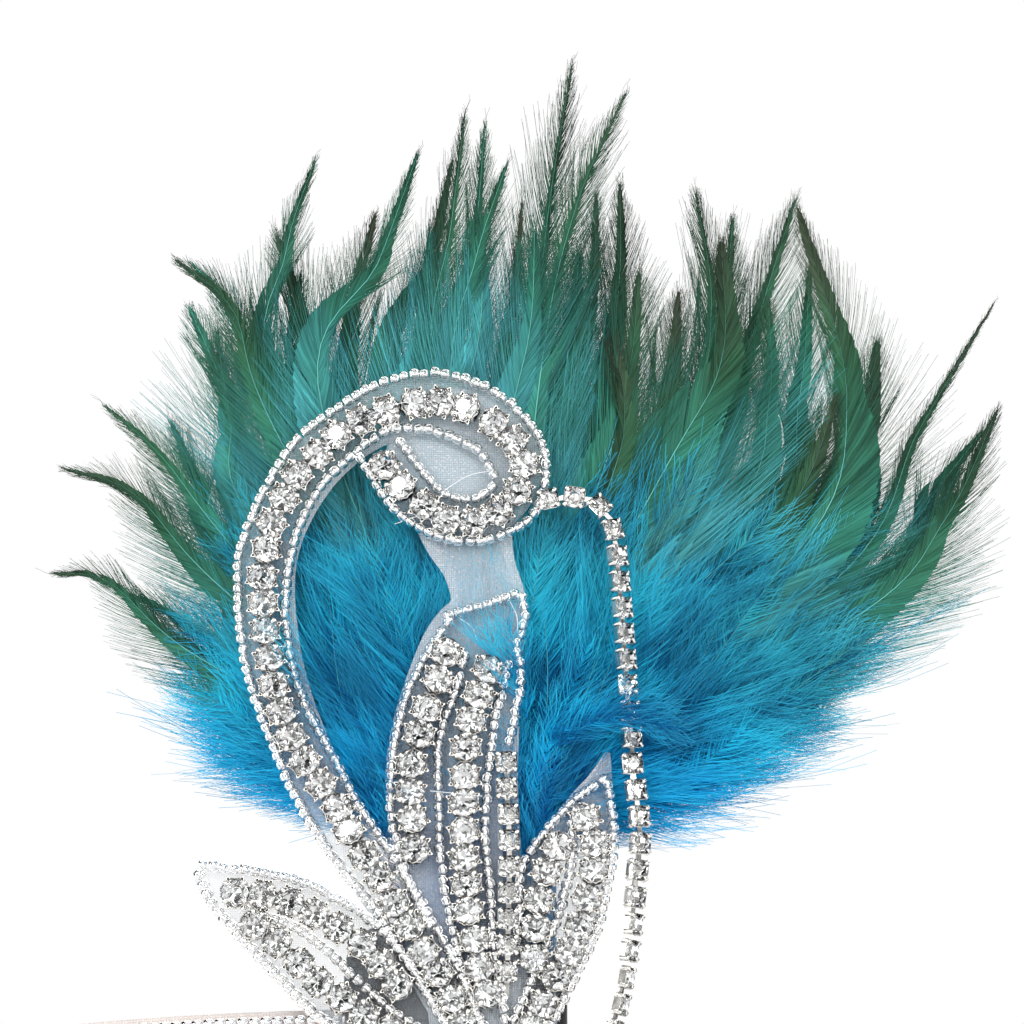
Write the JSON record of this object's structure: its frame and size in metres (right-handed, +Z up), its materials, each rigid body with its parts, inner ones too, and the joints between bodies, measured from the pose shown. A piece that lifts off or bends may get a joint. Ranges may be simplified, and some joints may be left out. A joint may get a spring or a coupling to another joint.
{
  "type": "flapper headband",
  "caption": "Beaded organza headband closed by a back elastic, with a crook-and-leaf net ornament of set stones and a hanging cup chain before a fan of feathers.",
  "frame": {"origin": "middle of the loop, half-way up the band, where the head sits in it", "axes": "+X to the back of the head, -Y out of the side that carries the ornament, +Z up"},
  "size_m": [0.1957, 0.1661, 0.1812],
  "materials": {
    "organza": "sheer plain weave with a soft sheen",
    "elastic": "matte ribbed elastic",
    "felt": "matte felt",
    "feather": "dyed hackle, turquoise at the base and dark green at the tips",
    "net": "fine stiff net with a glitter",
    "crystal": "foil-backed cut glass in claw settings",
    "silver": "bright silver-plated cups"
  },
  "bodies": {
    "root": {"beaded_band": "organza", "back_elastic": "elastic", "felt_patch": "felt", "feather_plume": "feather", "applique_net": "net", "crook_stones": "crystal", "centre_leaf_stones_left": "crystal", "centre_leaf_stones_middle": "crystal", "right_leaf_stones_outer": "crystal", "right_leaf_stones_inner": "crystal", "left_leaf_stones_upper": "crystal", "left_leaf_stones_lower": "crystal", "sewn_cup_chain": "silver", "chain_drape": "silver"}
  },
  "joints": []
}
